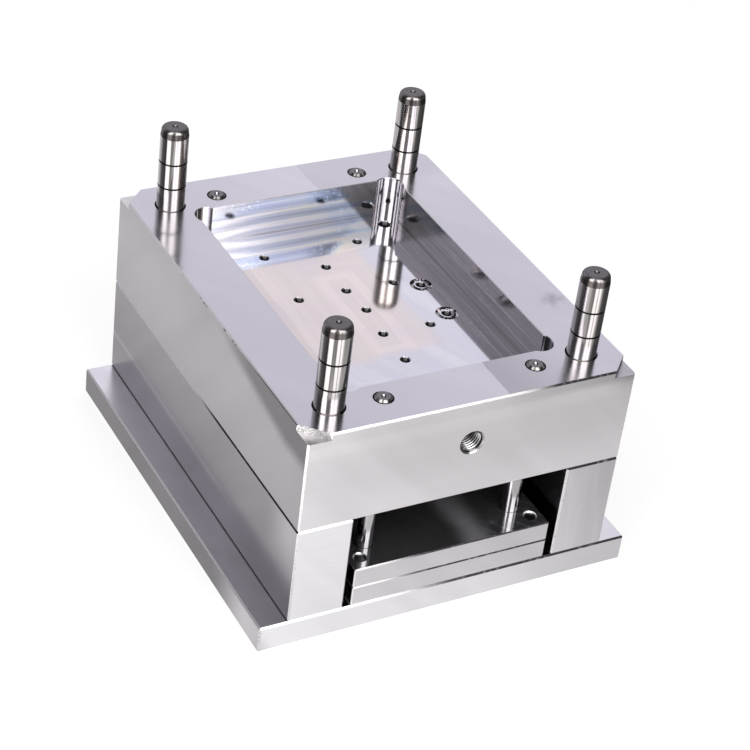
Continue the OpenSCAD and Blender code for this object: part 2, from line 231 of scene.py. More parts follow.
# %% The room that the steel reflects
# Brightness of the room seen from the mould, by direction: degrees from the front (-Y) towards the right (+X)
ROOM = [(-180, 0.80), (-165, 0.66), (-150, 0.60), (-138, 0.46), (-126, 0.14), (-84, 0.07), (-79, 2.3),
        (-52, 2.3), (-47, 0.42), (-21, 0.38), (-16, 2.3), (0, 2.3), (3, 1.0), (8, 1.0), (11, 2.3),
        (20, 2.3), (24, 1.45), (29, 1.15), (35, 0.66), (48, 0.14), (96, 0.08), (120, 0.45), (140, 0.93)]
ROOM_TINT_FRONT = (1.0, 0.985, 0.98)
ROOM_TINT_BACK = (0.955, 0.94, 1.0)
FILL_LEVEL = 0.55
WHITE = (1.0, 1.0, 1.0)

world = bpy.data.worlds.new("studio")
scene.world = world
world.use_nodes = True
sky = world.node_tree
sky.nodes.clear()
look = split(out(put(sky, "TexCoord"), "Generated"))
compass = calc("ARCTAN2", look[0], look[1] * -1.0)
turn = ramp(compass, -math.pi, math.pi, smooth=False)
room = put(sky, "ValToRGB", {"Fac": turn})
stops = room.color_ramp.elements
for degrees, level in ROOM[1:]:
    stops.new((degrees + 180) / 360).color = (level, level, level, 1.0)
for stop in (stops[0], stops[-1]):
    stop.color = (ROOM[0][1], ROOM[0][1], ROOM[0][1], 1.0)
back_side = ramp(look[1], -0.1, 0.6)
room_tint = tint(back_side, ROOM_TINT_FRONT, ROOM_TINT_BACK)
room_colour = tint(1.0, out(room, "Color"), room_tint, "MULTIPLY")
backdrop_fade = ramp(look[2], 0.42, 0.62, 1.26, 0.94, smooth=False)
# The backdrop ends in a dark strip just above the horizon
dark_strip = ramp(abs(look[2] - 0.14), 0.12, 0.24, 0.45, 1.0)
fade = blend(back_side, 1.0, backdrop_fade * dark_strip)
# Below it, behind the mould and to the right, lies dark cloth
cloth = ramp(look[0], -0.35, -0.1) * ramp(look[1], 0.0, 0.3) * ramp(look[2], 0.02, -0.12)
fade = fade * (1.0 - cloth * 0.8)
room_colour = tint(1.0, room_colour, grey(fade), "MULTIPLY")
camera_ray, mirror_ray = ray_kinds(sky)
seen = tint(mirror_ray, (FILL_LEVEL,) * 3, room_colour)
seen = tint(camera_ray, seen, WHITE)
put(sky, "OutputWorld", {"Surface": out(put(sky, "Background", {"Color": seen, "Strength": 1.0}))})
print("room directions:", len(stops))

# %% [markdown]
# The floor is a plain pale sheet. It is a real matt surface, so it takes the lamps' light and the mould's
# shadow. A camera sees some extra white on it, which brings the lit part up to the white of the background.
# The upright faces of the mould mirror the floor around it, and for them a pool of light is painted on the
# floor: it is brightest along the left side and fades to the right and to the front. Further out, steel looks
# past the floor and sees the dark room.

# %% The floor
FLOOR_HALF = 3.0
floor_mesh = bpy.data.meshes.new("floor")
corners = [(x * FLOOR_HALF, y * FLOOR_HALF, 0) for x, y in ((-1, -1), (1, -1), (1, 1), (-1, 1))]
floor_mesh.from_pydata(corners, [], [(0, 1, 2, 3)])
floor = bpy.data.objects.new("floor", floor_mesh)
scene.collection.objects.link(floor)
print("floor", FLOOR_HALF * 2, "m wide")

# %% [markdown]
# One material does all of this. Its light path node tells which kind of ray asks: the camera gets matt paper
# with some extra white, and a mirror gets the painted pool of light, or a view straight through where the
# pool has ended.

# %% The floor's paper
FLOOR_COLOUR = (0.80, 0.79, 0.79)
FLOOR_LIFT = 0.50
# The pool's full level holds up to this X and down to this Y; it fades by so much for each metre beyond
POOL_LEVEL, POOL_LEAST = 1.0, 0.3
POOL_TURN_X, POOL_FALL_X = -0.13, 0.95
POOL_TURN_Y, POOL_FALL_Y = -0.18, 0.8
# Lowest and highest X and Y that the pool reaches, and the width of its soft border
POOL_X, POOL_Y, POOL_SOFT = (-0.285, 0.28), (-0.40, 0.62), 0.03
POOL_TINT = (1.0, 0.985, 1.0)

floor_paper = bpy.data.materials.new("floor_paper")
floor_paper.use_nodes = True
tree = floor_paper.node_tree
tree.nodes.clear()
x, y, _ = split(out(put(tree, "TexCoord"), "Object"))
right_of = calc("MAXIMUM", x - POOL_TURN_X, 0.0)
front_of = calc("MAXIMUM", POOL_TURN_Y - y, 0.0)
lost = right_of * POOL_FALL_X + front_of * POOL_FALL_Y
pool = calc("MAXIMUM", POOL_LEVEL - lost, POOL_LEAST)
# A painted shadow darkens the pool in a strip along the mould's left foot
strip = ramp(x, -0.21, -0.15, smooth=False) * ramp(x, -0.125, -0.14)
pool = pool * blend(strip, 1.0, 0.76)
reach = 1.0
for part, (low, high) in ((x, POOL_X), (y, POOL_Y)):
    reach = reach * ramp(part, low, low + POOL_SOFT) * ramp(part, high, high - POOL_SOFT)
camera_ray, mirror_ray = ray_kinds(tree)
matt = put(tree, "BsdfDiffuse", {"Color": FLOOR_COLOUR})
white = put(tree, "Emission", {"Color": WHITE, "Strength": camera_ray * FLOOR_LIFT})
sheet = put(tree, "AddShader", {0: out(matt), 1: out(white)})
lit = put(tree, "Emission", {"Color": POOL_TINT, "Strength": pool})
mirrored = put(tree, "MixShader", {0: reach, 1: out(put(tree, "BsdfTransparent")), 2: out(lit)})
both = put(tree, "MixShader", {0: mirror_ray, 1: out(sheet), 2: out(mirrored)})
put(tree, "OutputMaterial", {"Surface": out(both)})
floor_mesh.materials.append(floor_paper)
print("floor nodes:", len(tree.nodes))

# %% [markdown]
# The soft boxes themselves are two large lamps in the same directions as the bright parts of the room. They
# put a shine on chamfers and rims, light the floor and throw the mould's soft shadow.

# %% The soft boxes
AIM = Vector((0, 0, 0.12))
# Name, degrees from the front towards the right, degrees up, distance, width, height, power
BOXES = [("box_left", -64, 38, 1.5, 0.75, 0.9, 4.0),
         ("box_right", 5, 42, 1.5, 1.0, 0.9, 5.5)]


def soft_box(name, compass_deg, up_deg, distance, width, height, power):
    """A rectangular lamp that looks at the mould and doesn't show to the camera."""
    data = bpy.data.lights.new(name, "AREA")
    data.shape, data.size, data.size_y, data.energy = "RECTANGLE", width, height, power
    lamp = bpy.data.objects.new(name, data)
    across, up = math.radians(compass_deg), math.radians(up_deg)
    away = Vector((math.sin(across) * math.cos(up), -math.cos(across) * math.cos(up), math.sin(up)))
    lamp.location = AIM + away * distance
    lamp.rotation_euler = away.to_track_quat("Z", "Y").to_euler()
    lamp.visible_camera = False
    scene.collection.objects.link(lamp)
    return lamp


lamps = [soft_box(*box) for box in BOXES]
print("lamps:", [(lamp.name, tuple(round(v, 2) for v in lamp.location)) for lamp in lamps])

# %% [markdown]
# ## Effects that several finishes share
# Ground, milled and turned steel differ in how the tool ran over it, but all of them show fine lines, a
# film of oil and a few scratches. Each effect is one node group with named sockets. A group gives out only
# values, and each finish feeds them to its own shader with its own amounts. All sizes inside are in
# millimetres.

# %% A helper that starts a node group
def start_group(name, inputs, outputs):
    """A new node group; inputs map a name to a default, and a vector default makes a vector socket."""
    group = bpy.data.node_groups.new(name, "ShaderNodeTree")
    for socket_name, default in inputs.items():
        kind = "NodeSocketVector" if isinstance(default, tuple) else "NodeSocketFloat"
        made = group.interface.new_socket(name=socket_name, in_out="INPUT", socket_type=kind)
        made.default_value = default
    for socket_name in outputs:
        group.interface.new_socket(name=socket_name, in_out="OUTPUT", socket_type="NodeSocketFloat")
    print("group", name, "gives", outputs)
    return group, outs(group.nodes.new("NodeGroupInput")), group.nodes.new("NodeGroupOutput").inputs


def use(group, **sockets):
    """Place a node group in the tree that its inputs come from; gives its outputs."""
    return outs(put(tree_of(*sockets.values()), "Group", sockets, node_tree=group))


START = (0.0, 0.0, 0.0)
print("helpers ready: start_group, use")

# %% [markdown]
# Grinding and milling leave lines. Noise that is stretched a hundred times along the tool's path looks like
# them. The group takes a place whose X runs along the lines, so that each finish can turn the lines as it
# likes.

# %% Tool lines
tool_lines, given, gives = start_group(
    "tool_lines", {"Place": START, "Length": 40.0, "Pitch": 0.4}, ["Lines"])
across = 1.0 / given["Pitch"]
scaled = stretch(given["Place"], join(1.0 / given["Length"], across, across))
plug(ramp(noise(scaled, 1.0, 3.0, 0.6), 0.25, 0.75, smooth=False), gives["Lines"])

# %% [markdown]
# A wiped film of oil leaves soft clouds and drawn-out streaks in how clearly the steel mirrors.

# %% Oil film
oil_film, given, gives = start_group(
    "oil_film", {"Place": START, "Size": 60.0, "Slant": 0.5}, ["Clouds", "Streaks"])
scale = 1.0 / given["Size"]
shrunk = stretch(turned(given["Place"], given["Slant"]), join(scale, scale, scale))
drawn = stretch(shrunk, (0.35, 3.2, 3.2))
plug(ramp(noise(shrunk, 1.0, 2.0, 0.45), 0.32, 0.68), gives["Clouds"])
plug(ramp(noise(drawn), 0.35, 0.66), gives["Streaks"])

# %% [markdown]
# Scratches from handling are thin, long and rare. Stretched noise that is cut off high leaves only its
# crests, and a second, slower noise breaks them into strokes.

# %% Scratches
scratches, given, gives = start_group(
    "scratches", {"Place": START, "Length": 30.0, "Width": 0.5, "Slant": 0.4, "Rarity": 0.7}, ["Scratch"])
slanting = turned(given["Place"], given["Slant"])
across = 1.0 / given["Width"]
thin = stretch(slanting, join(1.0 / given["Length"], across, across))
keep = ramp(noise(slanting, 0.03, 1.0), 0.45, 0.62)
peak = ramp(noise(thin, 1.0, 0.0), given["Rarity"], given["Rarity"] + 0.05)
plug(keep * peak, gives["Scratch"])

# %% [markdown]
# A cutter goes over a floor in lanes, each at its own slight tilt, so that each mirrors another part of the
# room. A random value for each lane of the given width does it, with soft borders.

# %% Cutter lanes
cutter_lanes, given, gives = start_group(
    "cutter_lanes", {"Distance": 0.0, "Width": 4.0, "Seed": 0.0}, ["Lane", "Border"])
steps = given["Distance"] / given["Width"]
step = calc("FLOOR", steps)
part = steps - step


def lane_value(number, seed):
    """A random value for a lane, the same for each place in it."""
    lane = {"Vector": join(number, seed)}
    return out(put(number.tree, "TexWhiteNoise", lane, noise_dimensions="2D"), "Value")


here, after = [lane_value(number, given["Seed"]) for number in (step, step + 1.0)]
plug(blend(ramp(part, 0.6, 1.0), here, after), gives["Lane"])
plug(ramp(part, 0.88, 0.97), gives["Border"])

# %% [markdown]
# Edges, screws and threads get rubbed and knocked. A cloudy value stands for the rub, and rare spots for
# the nicks.

# %% Wear
wear, given, gives = start_group("wear", {"Place": START, "Size": 2.0}, ["Rub", "Nicks"])
scale = 1.0 / given["Size"]
small = stretch(given["Place"], join(scale, scale, scale))
plug(noise(small, 1.0, 3.0), gives["Rub"])
plug(ramp(noise(small, 1.8, 1.0), 0.62, 0.68), gives["Nicks"])

# %% [markdown]
# A drill, a lathe and a cylindrical grinder all leave rings round their axis, and a hand leaves smears
# along it.

# %% Turning rings
turning, given, gives = start_group("turning", {"Place": START, "Pitch": 0.3}, ["Rings", "Smears"])
squeezed = stretch(given["Place"], join(0.08, 0.08, 1.0 / given["Pitch"]))
plug(noise(squeezed), gives["Rings"])
plug(noise(stretch(given["Place"], (0.5, 0.5, 0.06))), gives["Smears"])

# %% [markdown]
# ## The finishes
# Each finish is one material: a metal shader, fed with a colour, a roughness and a bump made from the
# groups. A helper sets up what all of them share. Ground steel mirrors much longer along one way than the
# other, which is what the anisotropic setting does; its direction comes from a tangent along or around the
# piece.

# %% A helper that starts a finish
ACROSS, UPRIGHT = (1.0, 0.0, 0.0), (0.0, 0.0, 1.0)
TOP_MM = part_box("core_plate")[1].z / MM
POCKET_DEPTH_MM = 29.0
POCKET_FLOOR_MM = TOP_MM - POCKET_DEPTH_MM


def start_finish(name):
    """A new material, and the place in millimetres as a Value in its tree."""
    material = bpy.data.materials.new(name)
    material.use_nodes = True
    tree = material.node_tree
    tree.nodes.clear()
    metres = out(put(tree, "TexCoord"), "Object")
    print("finish", name)
    return material, stretch(metres, (1 / MM, 1 / MM, 1 / MM))


def steel(colour, rough, height=None, bump_mm=0.01, stretch_amount=0.0, along=None):
    """The metal shader of a finish; along is the tangent, the way in which it blurs most."""
    tree = colour.tree
    shader = put(tree, "BsdfPrincipled", {"Base Color": colour, "Metallic": 1.0, "Roughness": rough,
                                          "Anisotropic": stretch_amount})
    if along:
        plug(out(put(tree, "CombineXYZ", dict(enumerate(along)))), shader.inputs["Tangent"])
    if height is not None:
        bump = put(tree, "Bump", {"Height": height, "Distance": bump_mm * MM, "Strength": 1.0})
        plug(out(bump), shader.inputs["Normal"])
    put(tree, "OutputMaterial", {"Surface": out(shader)})
    return shader


print("pocket floor at", round(POCKET_FLOOR_MM, 1), "mm")

# %% [markdown]
# The parting face is ground last and finest. It mirrors the backdrop softly, with a lavender cast. A rag
# has wiped the oil film off its left half, so a tone step runs across both ends of the plate a little right
# of the middle. A ramp on the distance from that line makes the step; a smudge of dried oil lies on the
# right side.

# %% Ground parting face
SMUDGE_AT, SMUDGE_MM = (108.0, -64.0), 11.0

ground_top, place = start_finish("ground_top")
x, y, z = split(place)
lengthwise = join(y, x, z)
fine = use(tool_lines, Place=lengthwise, Length=60.0, Pitch=0.5)["Lines"]
film = use(oil_film, Place=lengthwise, Size=70.0, Slant=0.6)
nick = use(scratches, Place=lengthwise, Length=35.0, Width=0.5, Slant=0.9, Rarity=0.76)["Scratch"]
# How far a place is beyond the line where the rag stopped, and how dull the film is there
wobble = noise(place, 0.2, 1.0) * 2.0 - 1.0
past = x + wobble - ramp(y, -112.0, 122.0, 23.5, 17.5, smooth=False)
front_end = ramp(y, -95.0, -110.0)
dull = ramp(past, -0.6, 0.6) * blend(front_end, ramp(y, 100.0, 118.0, 0.04, 0.12),
                                     ramp(x, 20.0, 100.0, 0.31, 0.07))
clean = ramp(abs(y), 60.0, 112.0) * ramp(x, -70.0, 0.0, 0.0, 0.06)
away = calc("SQRT", (x - SMUDGE_AT[0]) ** 2.0 + (y - SMUDGE_AT[1]) ** 2.0)
smudge = ramp(noise(place, 0.15, 2.0) * 16.0 + away, SMUDGE_MM + 8.0, 7.0, 0.0, 0.3)
level = 1.0 + clean - dull - smudge
colour = shade((0.625, 0.605, 0.66), (level * 0.5, 0.0, 2.0), (fine, 0.97, 1.02),
               (film["Streaks"], 0.975, 1.01))
steel(colour, blend(film["Clouds"], 0.13, 0.21), fine + nick, 0.002, 0.4, along=ACROSS)

# %% [markdown]
# The outer sides are ground too, but coarser, and they have been handled: wiped streaks run slantwise over
# them. Each face also gets a painted tone of its own for the light and shade that it mirrors, so the left
# sides are darker than the fronts.

# %% Ground sides
def ground_side(name, facing, colour, streak_low=0.93, slant=0.8, size=110.0, rough=(0.16, 0.26),
                painted_tones=None):
    """A ground face across x, y or z; its lines run along the plate."""
    material, place = start_finish(name)
    x, y, z = split(place)
    level_place = {"x": join(y, z, x), "y": join(x, z, y), "z": join(y, x, z)}[facing]
    fine = use(tool_lines, Place=level_place, Length=70.0, Pitch=0.5)["Lines"]
    film = use(oil_film, Place=level_place, Size=size, Slant=slant)
    nick = use(scratches, Place=level_place, Length=26.0, Width=0.5, Slant=1.1, Rarity=0.74)["Scratch"]
    tone = shade(colour, (fine, 0.97, 1.02), (film["Streaks"], streak_low, 1.04))
    if painted_tones:
        tone = painted_tones(tone, x, y, z)
    steel(tone, blend(film["Clouds"], *rough), fine + nick, 0.002, 0.4,
          along=ACROSS if facing == "z" else UPRIGHT)
    return material


print("helper ready: ground_side")

# %% [markdown]
# Some sides get painted light and shade of their own: painted highlights and reflections of the floor and
# room, and a darker area below the top edge at the front left. Each kind is a function that takes the colour
# so far and gives it back darker or lighter in one area.

# %% Painted tones on single sides
def darker_below_top_edge(tone, x, y, z):
    """Darker below the top edge, over a strip that widens to 27 mm towards the front."""
    strip = ramp(y, -15.0, -125.0, 7.0, 28.0, smooth=False)
    inside = ramp(TOP_MM - z - strip, 2.0, -11.0)
    return shade(tone, (inside * ramp(y, 5.0, -75.0), 1.0, 0.42))


def painted_highlight_band(tone, x, y, z):
    """Painted highlight 13 mm below the top edge, painted shade above it at the right, and a lighter foot."""
    depth = TOP_MM - z
    band = ramp(depth, 7.0, 12.0) * ramp(depth, 22.0, 14.0)
    strip = ramp(depth, 11.0, 4.0) * ramp(x, 0.0, 100.0)
    corner = ramp(x, 98.0, 120.0) * ramp(depth, 20.0, 6.0)
    foot = blend(ramp(x, -85.0, -120.0), ramp(depth, 35.0, 65.0, 0.0, 0.45), ramp(depth, 10.0, 60.0))
    return shade(tone, (band, 1.0, 1.06), (strip, 1.0, 0.76), (ramp(x, 10.0, 110.0), 1.0, 1.15),
                 (foot, 1.0, 1.14), (corner, 1.0, 0.74))


def painted_reflection_streak(tone, x, y, z):
    """Painted reflection of the clamp plate's edge as a light streak, a light front corner above it, a shaded
    foot.
    """
    off = abs(z - ramp(y, 150.0, -60.0, 50.0, 46.0, smooth=False))
    streak = ramp(off, 4.0, 0.0) * ramp(y, -70.0, -20.0)
    corner = ramp(y, -105.0, -145.0) * ramp(z, 38.0, 82.0)
    foot = ramp(y, -50.0, -110.0) * ramp(z, 50.0, 30.0)
    return shade(tone, (corner, 1.0, 1.7), (foot, 1.0, 0.78), (streak, 1.0, 1.28))


def painted_gradient(axis, start, end, at_start, at_end, smooth=True):
    """Painted reflection that grows lighter or darker along one axis."""
    return lambda tone, *place: shade(
        tone, (ramp(place["xyz".index(axis)], start, end, smooth=smooth), at_start, at_end))


print("marks ready: darker_below_top_edge, painted_highlight_band, painted_reflection_streak, graded")

# %% The sides of the plates
# Painted light and shade: the left sides are given dark tones, the fronts light ones
side_core = ground_side("side_core", "x", (0.415, 0.402, 0.415), 0.965, painted_tones=darker_below_top_edge)
side_spacer = ground_side("side_spacer", "x", (0.305, 0.293, 0.309), 0.92, rough=(0.13, 0.20),
                          painted_tones=painted_reflection_streak)
side_clamp = ground_side("side_clamp", "x", (0.215, 0.208, 0.214), 0.85, rough=(0.12, 0.2),
                         painted_tones=painted_gradient("y", -75.0, -135.0, 1.0, 3.4))
clamp_top = ground_side("clamp_top", "z", (0.86, 0.835, 0.89), 0.95)
front_core = ground_side("front_core", "y", (0.79, 0.77, 0.785), 0.97, painted_tones=painted_highlight_band)
front_spacer = ground_side("front_spacer", "y", (0.90, 0.885, 0.91), 0.97,
                           painted_tones=painted_gradient("z", 25.0, 90.0, 0.9, 1.08, smooth=False))
front_spacer_right = ground_side("front_spacer_right", "y", (0.76, 0.74, 0.76), 0.93, slant=1.5, size=50.0,
                                 painted_tones=painted_gradient("x", 78.0, 116.0, 1.1, 0.92))
front_clamp = ground_side("front_clamp", "y", (0.79, 0.78, 0.80), 0.96,
                          painted_tones=painted_gradient("x", 20.0, 130.0, 1.08, 0.88))
front_ejector = ground_side("front_ejector", "y", (0.69, 0.67, 0.686), 0.95)

# %% [markdown]
# The edges are chamfered with a grinder, which leaves them bright, with small nicks from the bench. Where two
# plates meet, the pair of chamfers makes a groove, and it is painted dark as shade over part of its length.
# The top edges are painted dark too: the front one towards the right, the left one along its lower half.

# %% Chamfered edges
bright_edge, place = start_finish("bright_edge")
worn = use(wear, Place=place, Size=2.0)
colour = shade((0.92, 0.91, 0.92), (worn["Rub"], 0.88, 1.04), (worn["Nicks"], 1.0, 0.62))
steel(colour, 0.34, worn["Rub"] - worn["Nicks"], 0.04)

# The colour of the painted shade on the edges
DARK_EDGE = (0.05, 0.045, 0.05)


def fading_edge(name, axis, bright_to, dark_from, patchy, bright=(0.88, 0.87, 0.88)):
    """An edge that is bright up to one place along an axis (0 is X, 1 is Y) and painted dark as shade from
    another.
    """
    material, place = start_finish(name)
    edge_shade = ramp(split(place)[axis], bright_to, dark_from)
    rub = use(wear, Place=place, Size=3.3)["Rub"]
    edge_shade = edge_shade * ramp(rub, 0.2, 0.5, patchy, 1.0)
    steel(tint(edge_shade, bright, DARK_EDGE), 0.36, rub, 0.03)
    return material


seam_edge = fading_edge("seam_edge", 0, 5.0, 45.0, 0.6)
ejector_seam = fading_edge("ejector_seam", 0, -62.0, -20.0, 0.7, bright=(0.70, 0.69, 0.70))
clamp_seam = fading_edge("clamp_seam", 0, -62.0, 10.0, 0.7)
front_top_edge = fading_edge("front_top_edge", 0, 28.0, 62.0, 0.8)
side_seam = fading_edge("side_seam", 1, 15.0, -30.0, 0.8, bright=(1.0, 0.98, 1.0))

# The left top edge is painted dark as shade on its lower half: fully at the front, in flecks further back
left_top_edge, place = start_finish("left_top_edge")
_, y, z = split(place)
rub = use(wear, Place=stretch(place, (1.0, 0.45, 1.0)), Size=2.2)["Rub"]
flecks = calc("MAXIMUM", ramp(rub, 0.56, 0.64) * ramp(y, 90.0, 20.0), ramp(y, -30.0, -100.0))
edge_shade = ramp(z, TOP_MM - 0.6, TOP_MM - 0.9) * flecks
steel(tint(edge_shade, (1.0, 0.985, 1.0), (0.13, 0.125, 0.135)), 0.32, rub, 0.04)

# The spacers' lower side chamfers are painted dark as shade
dark_edge, place = start_finish("dark_edge")
rub = use(wear, Place=place, Size=3.3)["Rub"]
steel(shade((0.09, 0.085, 0.09), (rub, 0.6, 1.6)), 0.4, rub, 0.03)

# %% [markdown]
# The pry slots in the corners were cut with a few quick passes of a mill. The bar that opens the mould has
# scarred the left ones: coarse noise with a deep bump gives the torn, glittering look. The right ones have
# seen less of it.

# %% Scarred pry slots
pry_floor, place = start_finish("pry_floor")
x, y, _ = split(place)
torn = noise(stretch(place, (0.5, 0.25, 0.5)), 1.0, 4.0)
used = ramp(x, 20.0, -20.0)
colour = tint(used, (0.56, 0.545, 0.59), (0.8, 0.785, 0.79))
colour = shade(colour, (used * ramp(y, -141.0, -152.0), 1.0, 0.5), (torn, 0.75, 1.12))
steel(colour, 0.32, torn, 0.3)

pry_wall, place = start_finish("pry_wall")
torn = noise(place, 0.9, 3.0)
used = ramp(split(place)[0], 20.0, -20.0)
flecks = ramp(torn, 0.45, 0.6)
colour = tint(used, (0.06, 0.055, 0.065), (0.5, 0.488, 0.495))
steel(shade(colour, (flecks, 0.8, 1.5)), 0.36, torn, 0.3)

# %% [markdown]
# The pocket's walls were cut with the side of an end mill, in a few passes one below the other. Each pass
# leaned a little differently, so each leaves a level band that mirrors another part of the room. A colour
# ramp over the height paints these reflections in as bands, with a darker painted shadow at the foot. On the
# end walls they run from white to blue; on the side walls they are brownish.

# %% Milled pocket walls
# Height above the pocket floor, as a part of its depth, and the painted reflection colour of the band there
END_PASS_REFLECTIONS = [(0.0, (0.42, 0.45, 0.53)), (0.04, (0.60, 0.66, 0.79)), (0.09, (0.49, 0.55, 0.69)),
              (0.15, (0.58, 0.66, 0.81)), (0.19, (0.78, 0.84, 0.93)), (0.25, (0.80, 0.85, 0.92)),
              (0.29, (0.69, 0.77, 0.88)), (0.33, (0.50, 0.57, 0.69)), (0.41, (0.46, 0.54, 0.68)),
              (0.48, (0.56, 0.65, 0.82)), (0.54, (0.72, 0.80, 0.92)), (0.60, (0.80, 0.86, 0.94)),
              (0.64, (0.61, 0.71, 0.88)), (0.70, (0.46, 0.55, 0.73)), (0.80, (0.49, 0.59, 0.81)),
              (0.88, (0.58, 0.67, 0.86)), (0.95, (0.46, 0.54, 0.70)), (1.0, (0.54, 0.61, 0.76))]
SIDE_PASS_REFLECTIONS = [(0.0, (0.26, 0.243, 0.25)), (0.05, (0.42, 0.392, 0.40)), (0.2, (0.38, 0.357, 0.367)),
               (0.24, (0.50, 0.47, 0.48)), (0.3, (0.43, 0.405, 0.415)), (0.5, (0.40, 0.375, 0.385)),
               (0.55, (0.54, 0.505, 0.515)), (0.62, (0.47, 0.44, 0.45)), (1.0, (0.50, 0.468, 0.48))]


def painted_window_reflection(place, part, tone):
    """Painted reflection: neutral at the left; at the right, past the mirrored window, top passes go dark
    first, with lighter flecks.
    """
    x = split(place)[0]
    tone = tint(1.0, tone, tint(ramp(x, -56.0, -22.0), (0.72, 0.68, 0.61), (1.0, 1.0, 1.0)),
                "MULTIPLY")
    past = x - ramp(part, 0.0, 1.0, 58.0, 34.0, smooth=False)
    beyond = ramp(past, -9.0, 9.0)
    low = blend(beyond, 0.31, 0.5)
    high = blend(beyond, ramp(x, 5.0, 32.0, 0.31, 0.15), 0.62)
    level = blend(ramp(part, 0.56, 0.7), low, high)
    patch = ramp(x, 4.0, 24.0) * ramp(part, 0.5, 0.68)
    flecks = patch * ramp(noise(place, 0.42, 4.0, 0.7), 0.54, 0.64)
    return shade(tone, (level, 0.0, 4.0), (flecks, 1.0, 2.0))


def milled_wall(name, passes, rough, grain_low, painted_tones=None):
    """A milled wall with a band of painted reflection for each pass, and fine level lines."""
    material, place = start_finish(name)
    wander = noise(place, 0.015, 1.0)
    x, _, z = split(place)
    above = z - POCKET_FLOOR_MM + wander * 2.0 - 1.0
    sag = ramp(x, -25.0, -65.0, 0.0, 2.5)
    part = (above + sag) / POCKET_DEPTH_MM
    bands = put(place.tree, "ValToRGB", {"Fac": part})
    stops = bands.color_ramp.elements
    for at, band in passes[1:-1]:
        stops.new(at).color = (*band, 1.0)
    stops[0].color, stops[-1].color = (*passes[0][1], 1.0), (*passes[-1][1], 1.0)
    grain = ramp(noise(stretch(place, (0.01, 0.01, 0.9)), 1.0, 4.0, 0.6), 0.3, 0.7, smooth=False)
    spots = ramp(noise(place, 0.35, 4.0), 0.56, 0.66) * ramp(wander, 0.5, 0.58)
    colour = shade(out(bands, "Color"), (grain, grain_low, 1.08))
    if painted_tones:
        colour = painted_tones(place, part, colour)
    steel(shade(colour, (spots, 1.0, 1.3)), rough, grain + spots, 0.008, 0.4, along=UPRIGHT)
    return material


milled_end = milled_wall("milled_end", END_PASS_REFLECTIONS, 0.09, 0.70, painted_tones=painted_window_reflection)
milled_side = milled_wall("milled_side", SIDE_PASS_REFLECTIONS, 0.14, 0.66)

relief_wall, place = start_finish("relief_wall")
rings = use(turning, Place=place, Pitch=0.8)["Rings"]
# The two reliefs at the front are painted darker, as shade
front = ramp(split(place)[1], -50.0, 50.0)
colour = shade((0.62, 0.605, 0.615), (rings, 0.8, 1.08), (front, 0.28, 1.0))
steel(colour, 0.1, rings, 0.004, 0.5, along=UPRIGHT)

# %% [markdown]
# The pocket's floor was finished in lanes that go round like the walls, one inside the other, so the lines
# turn a corner on the diagonals. It came out almost as a mirror: it shows the walls and even the guide pin
# behind them upside down. A pinkish tint lies on it, which gives way to lavender towards the right and the
# front. Towards the far end and the right the floor is painted darker, as a painted reflection of the end
# wall's dark top.

# %% Milled pocket floor
POCKET_HALF_MM = (79.5, 114.0)

milled_floor, place = start_finish("milled_floor")
x, y, _ = split(place)
to_side = POCKET_HALF_MM[0] - abs(x)
to_end = POCKET_HALF_MM[1] - abs(y)
inset = calc("MINIMUM", to_side, to_end)
at_end = calc("LESS_THAN", to_end, to_side)
which = calc("SIGN", x) * 37.0 + at_end * 91.0
round_place = join(blend(at_end, y, x), inset, which)
wander = noise(place, 0.02, 1.0)
ragged = noise(stretch(place, (0.06, 0.02, 0.02)), 1.0, 3.0) * 26.0
lanes = use(cutter_lanes, Distance=wander * 5.0 + inset, Width=7.5, Seed=8.0)
fine = use(tool_lines, Place=round_place, Length=50.0, Pitch=1.3)["Lines"]
pink_part = ramp(x + ragged, 56.0, 36.0) * ramp(y + ragged, -46.0, -32.0) * ramp(x, -74.0, -64.0)
film = use(oil_film, Place=place, Size=42.0, Slant=1.2)
pink = tint(film["Clouds"], (0.78, 0.705, 0.735), (0.82, 0.75, 0.73))
pink = shade(pink, (lanes["Lane"], 0.92, 1.04))
lavender = tint(film["Streaks"], (0.71, 0.7, 0.785), (0.78, 0.765, 0.83))
# Painted reflection of the end wall's dark top, towards the far end and the right
painted_wall_reflection = ramp(y, 70.0, 92.0) * ramp(x, -90.0, 45.0)
colour = shade(tint(pink_part, lavender, pink), (fine, 0.965, 1.025), (lanes["Border"], 1.0, 0.975),
               (painted_wall_reflection, 1.0, 0.62))
steel(colour, 0.07, fine * 0.5 + lanes["Border"], 0.0006, 0.3, along=ACROSS)

# %% [markdown]
# Drilled walls show rings round their own axis, and the mouths of the pin holes get a dark ring of painted
# shade. The front of that ring is painted bright instead, as a painted highlight. In the small bores only the
# far wall catches light, at its mouth; that could be left to the lamps, but such bores are too narrow for
# them, so a ramp over the height draws it. The seal grooves at the water ports have chatter marks with
# painted glints.

# %% Drilled walls and mouths
def bored(name, colour, rough, low, high, pitch=0.3, bump_mm=0.02):
    """Steel with rings round an upright axis, from dark to light."""
    material, place = start_finish(name)
    rings = use(turning, Place=place, Pitch=pitch)["Rings"]
    steel(shade(colour, (rings, low, high)), rough, rings, bump_mm)
    return material


drilled = bored("drilled", (0.5, 0.49, 0.5), 0.3, 0.7, 1.15)
# Painted shade for the rings at the pin mouths
shaded_mouth = bored("shaded_mouth", (0.07, 0.067, 0.07), 0.22, 0.6, 1.5)
# Painted highlight for the front of the pin mouths and the lit side of the return pins' centre holes
mouth_highlight = bored("mouth_highlight", (0.66, 0.645, 0.66), 0.3, 0.85, 1.1)
hole_mouth = bored("hole_mouth", (0.42, 0.40, 0.43), 0.25, 0.7, 1.2)


